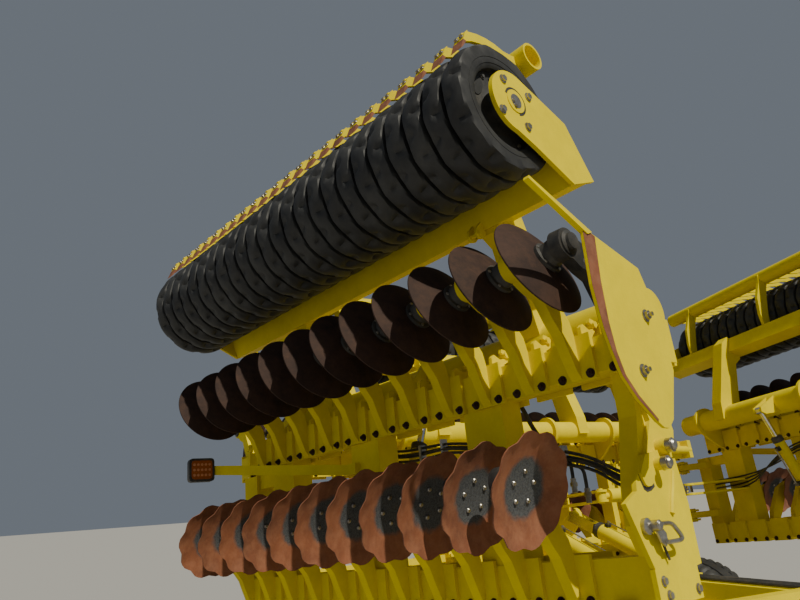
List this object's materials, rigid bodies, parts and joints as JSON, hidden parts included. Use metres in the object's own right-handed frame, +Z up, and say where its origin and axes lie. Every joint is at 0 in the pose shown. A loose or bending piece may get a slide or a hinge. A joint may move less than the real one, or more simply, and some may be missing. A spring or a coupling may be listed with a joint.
{
  "type": "folded disc harrow",
  "caption": "Trailed disc harrow with two rows of notched discs and rubber ring packers on a centre section and two folding wings, folded forwards on its transport wheels.",
  "frame": {"origin": "middle of the bounding box, on the ground", "axes": "+X along the way of travel, towards the hitch; +Y to the left; +Z up"},
  "size_m": [6.5338, 6.3418, 3.8215],
  "materials": {
    "yellow_paint": "dusty, slightly greenish yellow paint",
    "dark_paint": "dull black paint",
    "rusty_disc": "orange-brown rust over steel",
    "dark_disc": "dark weathered steel",
    "black_rubber": "dusty black rubber",
    "tyre": "dusty black tyre",
    "chrome_rod": "polished cylinder rod"
  },
  "bodies": {
    "root": {"carriage": "yellow_paint", "drawbar": "yellow_paint", "cradles": "yellow_paint", "hitch": "dark_paint", "jack_sleeve": "dark_paint"},
    "jack_leg": {"jack_leg": "dark_paint"},
    "wheel_left_outer": {"wheel_left_outer": "tyre"},
    "wheel_left_inner": {"wheel_left_inner": "tyre"},
    "wheel_right_inner": {"wheel_right_inner": "tyre"},
    "wheel_right_outer": {"wheel_right_outer": "tyre"},
    "centre": {"centre_front_beam": "yellow_paint", "centre_rear_beam": "yellow_paint", "centre_posts": "yellow_paint", "centre_front_arms": "yellow_paint", "centre_front_discs": "rusty_disc", "centre_rear_arms": "yellow_paint", "centre_rear_discs": "dark_disc", "centre_brackets": "yellow_paint"},
    "centre_packer_frame": {"centre_packer_frame": "yellow_paint", "centre_scrapers": "yellow_paint"},
    "centre_packer": {"centre_packer": "black_rubber"},
    "left_wing": {"left_front_beam": "yellow_paint", "left_rear_beam": "yellow_paint", "left_posts": "yellow_paint", "left_front_arms": "yellow_paint", "left_front_discs": "rusty_disc", "left_rear_arms": "yellow_paint", "left_rear_discs": "dark_disc", "left_brackets": "yellow_paint", "left_end_frame": "yellow_paint", "left_lamp": "dark_paint"},
    "left_packer_frame": {"left_packer_frame": "yellow_paint", "left_scrapers": "yellow_paint"},
    "left_packer": {"left_packer": "black_rubber"},
    "right_wing": {"right_front_beam": "yellow_paint", "right_rear_beam": "yellow_paint", "right_posts": "yellow_paint", "right_front_arms": "yellow_paint", "right_front_discs": "rusty_disc", "right_rear_arms": "yellow_paint", "right_rear_discs": "dark_disc", "right_brackets": "yellow_paint", "right_end_frame": "yellow_paint", "right_lamp": "dark_paint"},
    "right_packer_frame": {"right_packer_frame": "yellow_paint", "right_scrapers": "yellow_paint"},
    "right_packer": {"right_packer": "black_rubber"},
    "tilt_barrels": {"tilt_barrels": "yellow_paint"},
    "tilt_rods": {"tilt_rods": "chrome_rod"},
    "left_fold_barrel": {"left_fold_barrel": "yellow_paint"},
    "left_fold_rod": {"left_fold_rod": "chrome_rod"},
    "right_fold_barrel": {"right_fold_barrel": "yellow_paint"},
    "right_fold_rod": {"right_fold_rod": "chrome_rod"},
    "centre_packer_barrels": {"centre_packer_barrels": "yellow_paint"},
    "centre_packer_rods": {"centre_packer_rods": "chrome_rod"},
    "left_packer_barrel": {"left_packer_barrel": "yellow_paint"},
    "left_packer_rod": {"left_packer_rod": "chrome_rod"},
    "right_packer_barrel": {"right_packer_barrel": "yellow_paint"},
    "right_packer_rod": {"right_packer_rod": "chrome_rod"}
  },
  "joints": [
    {"name": "tilt", "type": "hinge", "parent": "root", "child": "centre", "pos_m": [-2.0981, 0, 1], "axis": [0, -1, 0], "range_deg": [0, 85]},
    {"name": "left_fold", "type": "hinge", "parent": "centre", "child": "left_wing", "pos_m": [-2.16335, 2.225, 1.51628], "axis": [-0.0872, 0, 0.9962], "range_deg": [0, 101.6]},
    {"name": "right_fold", "type": "hinge", "parent": "centre", "child": "right_wing", "pos_m": [-2.16335, -2.225, 1.51628], "axis": [0.0872, 0, -0.9962], "range_deg": [0, 101.6]},
    {"name": "centre_packer_swing", "type": "hinge", "parent": "centre", "child": "centre_packer_frame", "pos_m": [-2.24602, 0, 2.2318], "axis": [0, -1, 0], "range_deg": [-5, 5]},
    {"name": "centre_packer_turn", "type": "hinge", "parent": "centre_packer_frame", "child": "centre_packer", "pos_m": [-2.9534, 0, 3.05427], "axis": [0, 1, 0], "continuous": true},
    {"name": "left_packer_swing", "type": "hinge", "parent": "left_wing", "child": "left_packer_frame", "pos_m": [-0.68513, 1.92789, 2.36836], "axis": [-0.9758, 0.2011, -0.0854], "range_deg": [-5, 5]},
    {"name": "left_packer_turn", "type": "hinge", "parent": "left_packer_frame", "child": "left_packer", "pos_m": [-0.7327, 2.56807, 3.24856], "axis": [0.9758, -0.2011, 0.0854], "continuous": true},
    {"name": "right_packer_swing", "type": "hinge", "parent": "right_wing", "child": "right_packer_frame", "pos_m": [-0.68513, -1.92789, 2.36836], "axis": [0.9758, 0.2011, 0.0854], "range_deg": [-5, 5]},
    {"name": "right_packer_turn", "type": "hinge", "parent": "right_packer_frame", "child": "right_packer", "pos_m": [-0.7327, -2.56807, 3.24856], "axis": [-0.9758, -0.2011, -0.0854], "continuous": true},
    {"name": "wheel_left_outer_turn", "type": "hinge", "parent": "root", "child": "wheel_left_outer", "pos_m": [-1.5181, 1.28, 0.535], "axis": [0, 1, 0], "continuous": true},
    {"name": "wheel_left_inner_turn", "type": "hinge", "parent": "root", "child": "wheel_left_inner", "pos_m": [-1.5181, 0.72, 0.535], "axis": [0, 1, 0], "continuous": true},
    {"name": "wheel_right_inner_turn", "type": "hinge", "parent": "root", "child": "wheel_right_inner", "pos_m": [-1.5181, -0.72, 0.535], "axis": [0, 1, 0], "continuous": true},
    {"name": "wheel_right_outer_turn", "type": "hinge", "parent": "root", "child": "wheel_right_outer", "pos_m": [-1.5181, -1.28, 0.535], "axis": [0, 1, 0], "continuous": true},
    {"name": "jack", "type": "slide", "parent": "root", "child": "jack_leg", "axis": [0, 0, 1], "range_m": [0, 0.3]},
    {"name": "tilt_barrel_swing", "type": "hinge", "parent": "root", "child": "tilt_barrels", "pos_m": [-0.7481, 0, 1.08], "axis": [0, -1, 0], "range_deg": [0, 12.44]},
    {"name": "tilt_rod", "type": "slide", "parent": "tilt_barrels", "child": "tilt_rods", "axis": [-0.9338, 0, 0.3579], "range_m": [0, 0.7058]},
    {"name": "left_fold_barrel_swing", "type": "hinge", "parent": "centre", "child": "left_fold_barrel", "pos_m": [-1.82252, 0.6, 1.63644], "axis": [0.0872, 0, -0.9962], "range_deg": [0, 0.663]},
    {"name": "left_fold_rod", "type": "slide", "parent": "left_fold_barrel", "child": "left_fold_rod", "axis": [-0.0115, 0.9999, -0.001], "range_m": [0, 0.8413]},
    {"name": "right_fold_barrel_swing", "type": "hinge", "parent": "centre", "child": "right_fold_barrel", "pos_m": [-1.82252, -0.6, 1.63644], "axis": [-0.0872, 0, 0.9962], "range_deg": [0, 0.663]},
    {"name": "right_fold_rod", "type": "slide", "parent": "right_fold_barrel", "child": "right_fold_rod", "axis": [-0.0115, -0.9999, -0.001], "range_m": [0, 0.8413]},
    {"name": "centre_packer_barrel_swing", "type": "hinge", "parent": "centre", "child": "centre_packer_barrels", "pos_m": [-2.25425, 0, 1.40794], "axis": [0, -1, 0], "range_deg": [-0.19, 0.19]},
    {"name": "centre_packer_rod", "type": "slide", "parent": "centre_packer_barrels", "child": "centre_packer_rods", "axis": [0.2955, 0, 0.9553], "range_m": [-0.0206, 0.0206]},
    {"name": "left_packer_barrel_swing", "type": "hinge", "parent": "left_wing", "child": "left_packer_barrel", "pos_m": [-0.79281, 2.04648, 1.5358], "axis": [-0.9758, 0.2011, -0.0854], "range_deg": [-0.19, 0.19]},
    {"name": "left_packer_rod", "type": "slide", "parent": "left_packer_barrel", "child": "left_packer_rod", "axis": [-0.1564, -0.37, 0.9158], "range_m": [-0.0206, 0.0206]},
    {"name": "right_packer_barrel_swing", "type": "hinge", "parent": "right_wing", "child": "right_packer_barrel", "pos_m": [-0.79281, -2.04648, 1.5358], "axis": [0.9758, 0.2011, 0.0854], "range_deg": [-0.19, 0.19]},
    {"name": "right_packer_rod", "type": "slide", "parent": "right_packer_barrel", "child": "right_packer_rod", "axis": [-0.1564, 0.37, 0.9158], "range_m": [-0.0206, 0.0206]}
  ],
  "couplings": [
    {"joint": "tilt_barrel_swing", "follows": "tilt", "ratio": 0.14634},
    {"joint": "tilt_rod", "follows": "tilt", "m_per_rad": 0.47575},
    {"joint": "left_fold_barrel_swing", "follows": "left_fold", "ratio": 0.0065172},
    {"joint": "left_fold_rod", "follows": "left_fold", "m_per_rad": 0.47439},
    {"joint": "right_fold_barrel_swing", "follows": "right_fold", "ratio": 0.0065172},
    {"joint": "right_fold_rod", "follows": "right_fold", "m_per_rad": 0.47439},
    {"joint": "centre_packer_barrel_swing", "follows": "centre_packer_swing", "ratio": 0.037815},
    {"joint": "centre_packer_rod", "follows": "centre_packer_swing", "m_per_rad": 0.23536},
    {"joint": "left_packer_barrel_swing", "follows": "left_packer_swing", "ratio": 0.037815},
    {"joint": "left_packer_rod", "follows": "left_packer_swing", "m_per_rad": 0.23536},
    {"joint": "right_packer_barrel_swing", "follows": "right_packer_swing", "ratio": 0.037815},
    {"joint": "right_packer_rod", "follows": "right_packer_swing", "m_per_rad": 0.23536}
  ]
}
